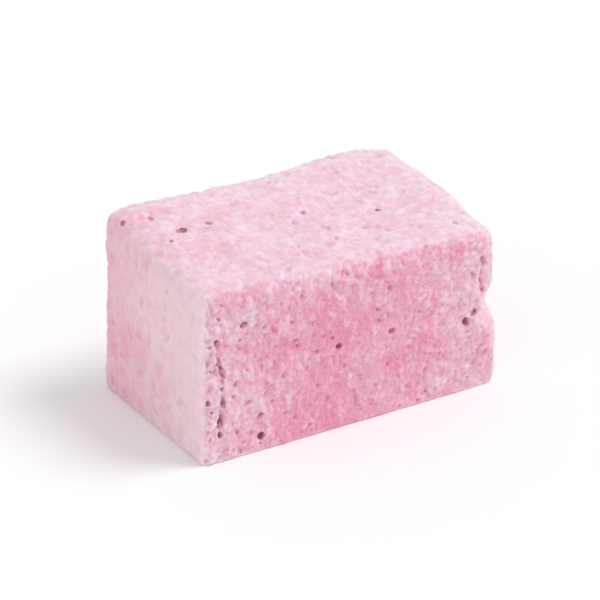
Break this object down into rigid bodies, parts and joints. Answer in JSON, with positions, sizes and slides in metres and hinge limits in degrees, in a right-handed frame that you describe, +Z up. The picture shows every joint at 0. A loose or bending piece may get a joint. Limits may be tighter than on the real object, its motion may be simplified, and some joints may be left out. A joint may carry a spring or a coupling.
{
  "type": "marshmallow block",
  "caption": "Hand-cut oblong block of pink marshmallow with porous cut faces, smooth dusted ends and slumped upper edges, lying flat on its base.",
  "frame": {"origin": "centre of the block's base, on the surface that it rests on", "axes": "+X along the length from the left skin to the right skin, -Y to the porous front cut, +Z up"},
  "size_m": [0.0426, 0.026, 0.0246],
  "materials": {
    "marshmallow": null
  },
  "bodies": {
    "root": {"marshmallow": "marshmallow"}
  },
  "joints": []
}
